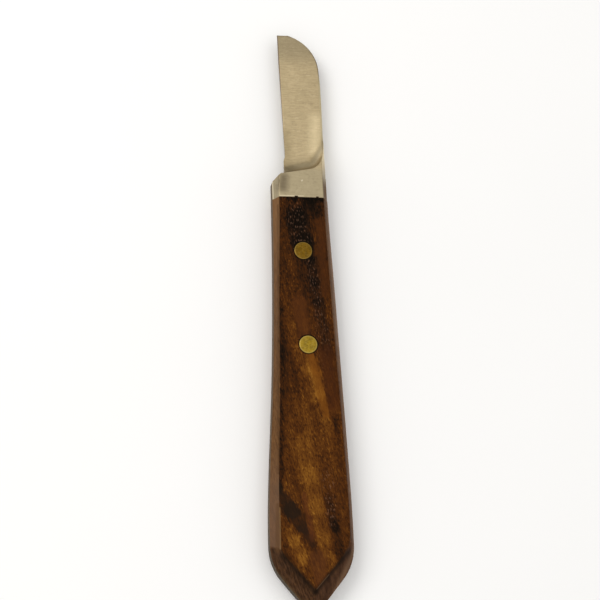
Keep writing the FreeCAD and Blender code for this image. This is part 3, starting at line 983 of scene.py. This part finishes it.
def grind_light_and_shade(graph, x, y, across, forward, colour):
    """Painted shade and painted highlights on the edge bevel, the spine, the hollow along the plunge line
    and the bolster's left crease.
    """
    past_heel = graph.step(y, EDGE_HEEL[1], EDGE_HEEL[1] + 1.5)
    # Painted shade on the edge bevel, darker towards the tip.
    on_bevel = graph.times(graph.step(across, -0.2, -0.38), past_heel, graph.step(x, -2.0, -3.0))
    bevel = graph.mix(graph.step(y, FAN_START_Y - 12, TIP_Y), srgb(112, 101, 86), srgb(92, 80, 76))
    colour = graph.mix(on_bevel, colour, bevel)
    past_bolster = graph.step(y, BOLSTER_STRAIGHT_Y, SPINE_HEEL[1])
    # A painted highlight on the spine's chamfer, which turns dark brown towards the tip.
    on_spine = graph.times(graph.step(across, 0.2, 0.4), past_bolster)
    spine = graph.mix(graph.step(y, FAN_START_Y, FAN_START_Y + 8), srgb(216, 200, 160), srgb(98, 78, 56))
    colour = graph.mix(on_spine, colour, spine)
    # Where the hollow ends near the spine: painted shade where its slope is gentle, a painted highlight
    # where it is steep.
    hollow_end = graph.times(graph.step(across, -0.08, -0.25), graph.step(x, 0.5, 3.0), past_bolster)
    shaded = graph.times(hollow_end, graph.step(across, -0.6, -0.4), 0.45)
    colour = graph.mix(shaded, colour, srgb(128, 114, 84))
    lit = graph.times(hollow_end, graph.step(y, 42.0, 45.0), graph.step(across, -0.4, -0.7), 0.6)
    colour = graph.mix(lit, colour, srgb(250, 234, 196))
    # Painted light on the floor of the hollow along the plunge line.
    hollow_floor_light = graph.times(graph.step(forward, 0.1, 0.4), graph.step(x, -3.0, 1.5))
    colour = graph.mix(graph.times(hollow_floor_light, 0.4), colour, srgb(232, 214, 174))
    # Painted shade in the bolster's left crease.
    crease_shade = graph.times(graph.step(across, -0.12, -0.3), graph.step(across, -0.84, -0.66))
    crease_shade = graph.times(crease_shade, graph.step(x, -3.5, -5.0), 0.6)
    return graph.mix(crease_shade, colour, srgb(96, 84, 62))


def steel():
    """Ground and brushed tool steel, with a dark patina and painted shade on the tang's edge and rust on
    the right side.
    """
    material, graph, place = new_material("ground_steel")
    x, y, _ = graph.split(place)
    normal = graph.add("ShaderNodeNewGeometry", {}, output="Normal")
    across, forward, up = graph.split(normal)
    brushing = graph.noise(graph.moved(place, scale=(0.3, 3.2, 0.8)), detail=4, roughness=0.75)
    along = graph.moved(place, turn=(0, 0, 0.06), scale=(0.7, 6.0, 2.0))
    scratches = graph.noise(along, detail=2, roughness=0.5)
    clouds = graph.noise(place, scale=0.28, detail=3, roughness=0.6)
    wear = graph.noise(place, scale=1.3, detail=3, roughness=0.6)
    colour = brushed_colour(graph, y, brushing, scratches, clouds, wear)
    # Painted shade and painted highlights on the grinds.
    colour = grind_light_and_shade(graph, x, y, across, forward, colour)
    colour = graph.paint(colour, place, STEEL_MARKS)

    # Upright walls of the tang and bolster: patina and painted shade, darker towards the butt; rust on
    # the bolster's right wall.
    upright = graph.step(graph.math("ABSOLUTE", up), 0.5, 0.2)
    before_blade = graph.step(y, EDGE_HEEL[1], BOLSTER_STRAIGHT_Y - 2)
    side = graph.times(upright, before_blade, graph.step(forward, 0.6, 0.2))
    patina_and_shade = graph.mix(wear, srgb(54, 38, 26), srgb(88, 68, 50))
    patina_and_shade = graph.mix(graph.step(y, -58.0, -66.0), patina_and_shade, srgb(48, 36, 26))
    on_bolster = graph.times(graph.step(y, JOINT_Y - 2, JOINT_Y + 0.5), graph.step(y, 39.5, 34.5))
    stain = graph.times(graph.step(across, 0.45, 0.9), on_bolster, graph.step(wear, 0.2, 0.6, low=0.8))
    patina_and_shade = graph.mix(stain, patina_and_shade, srgb(88, 56, 28))
    side = graph.math("MAXIMUM", side, stain)
    colour = graph.mix(graph.times(side, PATINA_AND_SHADE_STRENGTH), colour, patina_and_shade)

    roughness = graph.times_plus(side, 0.25, graph.times_plus(brushing, 0.18, 0.30))
    relief = graph.bump(graph.plus(brushing, graph.times(scratches, 0.4)), BRUSHING_DEPTH)
    finish_material(graph, Base_Color=colour, Roughness=roughness, Normal=relief,
                    Metallic=graph.times_plus(side, -0.60, 1.0),
                    Specular_IOR_Level=graph.times_plus(side, -0.40, 0.5))
    return material


# ---------------------------------------------------------------- brass

FILING_DEPTH = 0.012
DARK_BODY_SHARE = 0.60


def brass(node, body, rim):
    """Filed brass pin: fine file marks, a paler worn rim and darker specks."""
    material, graph, place = new_material(node + "_metal")
    centre, radius = pin_circle(node)
    level = graph.vector_math("MULTIPLY", place, (1, 1, 0))
    distance = graph.vector_math("DISTANCE", level, (centre[0], centre[1], 0), output="Value")
    along = graph.moved(place, turn=(0, 0, 0.5), scale=(1.2, 9.0, 1.0))
    filing = graph.noise(along, detail=3, roughness=0.6)
    clouds = graph.noise(place, scale=0.9, detail=3, roughness=0.6)
    specks = graph.noise(place, scale=5.0, detail=2, roughness=0.5)
    dark_body = (*(channel * DARK_BODY_SHARE for channel in body[:3]), 1.0)
    colour = graph.mix(graph.step(clouds, 0.38, 0.66), body, dark_body)
    colour = graph.mix(graph.times(graph.step(filing, 0.50, 0.62), 0.5), colour, rim)
    colour = graph.mix(graph.times(graph.step(distance, radius - 0.5, radius - 0.1), 0.7), colour, rim)
    colour = graph.mix(graph.times(graph.step(specks, 0.68, 0.76), 0.6), colour, srgb(60, 42, 16))
    roughness = graph.times_plus(filing, 0.2, 0.26)
    relief = graph.bump(filing, FILING_DEPTH)
    finish_material(graph, Base_Color=colour, Metallic=1.0, Roughness=roughness, Normal=relief)
    return material


# ---------------------------------------------------------------- floor, lights and camera

FLOOR_HALF_SIZE = 1500.0
KEY_PLACE = (-460, 220, 620)
KEY_SIZE = 420
KEY_POWER = 2.2
KEY_COLOUR = (1.0, 0.98, 0.95)
TENT_COLOUR = (1.0, 0.99, 0.97, 1.0)
TENT_TOP = 1.08
TENT_SIDES = 0.78
TENT_BEHIND_TIP = 0.42
CAMERA_AIM = (-0.77, 2.86, 4.5)
CAMERA_DISTANCE = 420.0
CAMERA_TURN = math.radians(10.33)
CAMERA_TILT = math.radians(16.73)
CAMERA_ROLL = math.radians(1.92)
CAMERA_LENS = 91.95


def add_floor():
    material, graph, place = new_material("pale_floor")
    cloud = graph.noise(place, scale=0.01, detail=3)
    colour = graph.mix(cloud, (0.90, 0.90, 0.90, 1), (0.93, 0.93, 0.93, 1))
    roughness = graph.times_plus(cloud, 0.1, 0.75)
    finish_material(graph, Base_Color=colour, Roughness=roughness, Specular_IOR_Level=0.1)
    half = FLOOR_HALF_SIZE * MM
    z = WHOLE_LOW[2] * MM
    data = bpy.data.meshes.new("floor")
    corners = [(-half, -half, z), (half, -half, z), (half, half, z), (-half, half, z)]
    data.from_pydata(corners, [], [(0, 1, 2, 3)])
    data.materials.append(material)
    floor = bpy.data.objects.new("floor", data)
    bpy.context.scene.collection.objects.link(floor)


def add_light_tent():
    """A white tent all round: brightest overhead, dimmest beyond the blade's tip."""
    world = bpy.data.worlds.new("studio")
    world.use_nodes = True
    graph = Graph(world.node_tree)
    heading = graph.add("ShaderNodeTexCoord", {}, output="Generated")
    _, along, up = graph.split(heading)
    side = graph.step(along, 0.1, 0.6, low=TENT_SIDES, high=TENT_BEHIND_TIP)
    overhead = graph.step(up, 0.55, 0.9)
    strength = graph.plus(graph.times(overhead, TENT_TOP),
                          graph.times(graph.math("SUBTRACT", 1.0, overhead), side))
    background = world.node_tree.nodes["Background"]
    background.inputs["Color"].default_value = TENT_COLOUR
    world.node_tree.links.new(strength, background.inputs["Strength"])
    bpy.context.scene.world = world


def add_key_light():
    """One soft light from the upper left, turned towards the knife."""
    data = bpy.data.lights.new("key", "AREA")
    data.size = KEY_SIZE * MM
    data.energy = KEY_POWER
    data.color = KEY_COLOUR
    light = bpy.data.objects.new("key", data)
    light.location = Vector(KEY_PLACE) * MM
    light.rotation_euler = (-light.location).to_track_quat("-Z", "Y").to_euler()
    bpy.context.scene.collection.objects.link(light)


def add_camera():
    """Camera above the butt's end and a little to the left, so the left facets show."""
    back = Vector((
        -math.sin(CAMERA_TURN) * math.cos(CAMERA_TILT),
        -math.sin(CAMERA_TILT),
        math.cos(CAMERA_TURN) * math.cos(CAMERA_TILT),
    ))
    up = (Vector((0, 1, 0)) - back * back.y).normalized()
    right = up.cross(back)
    rolled_right = right * math.cos(CAMERA_ROLL) - up * math.sin(CAMERA_ROLL)
    rolled_up = right * math.sin(CAMERA_ROLL) + up * math.cos(CAMERA_ROLL)
    data = bpy.data.cameras.new("camera")
    data.lens = CAMERA_LENS
    data.clip_start = 0.01
    data.clip_end = 20.0
    camera = bpy.data.objects.new("camera", data)
    turn = Matrix((rolled_right, rolled_up, back)).transposed().to_4x4()
    place = (Vector(CAMERA_AIM) + back * CAMERA_DISTANCE) * MM
    camera.matrix_world = Matrix.Translation(place) @ turn
    bpy.context.scene.collection.objects.link(camera)
    bpy.context.scene.camera = camera


# ---------------------------------------------------------------- the scene

FRONT_TREE = cad_tree("front_scale")
JOINT_TANG_EDGES, JOINT_FACE_EDGES = (
    [side_x(FRONT_TREE, side, JOINT_Y - INSIDE, z) for side in (-1, 1)]
    for z in (FRONT_LOW[2] + INSIDE, FACE_Z - INSIDE)
)
STREAK_GROUP = streak_group()

add_scales(wood("front_wood"), wood("back_wood", turn=math.pi, offset=(0, -18, 0)))
add_blade(steel())
add_pin("forward_pin", brass("forward_pin", srgb(118, 88, 22), srgb(140, 114, 58)))
add_pin("rear_pin", brass("rear_pin", srgb(152, 124, 36), srgb(176, 152, 82)))
add_floor()
add_light_tent()
add_key_light()
add_camera()
bpy.context.scene.view_settings.view_transform = "Standard"
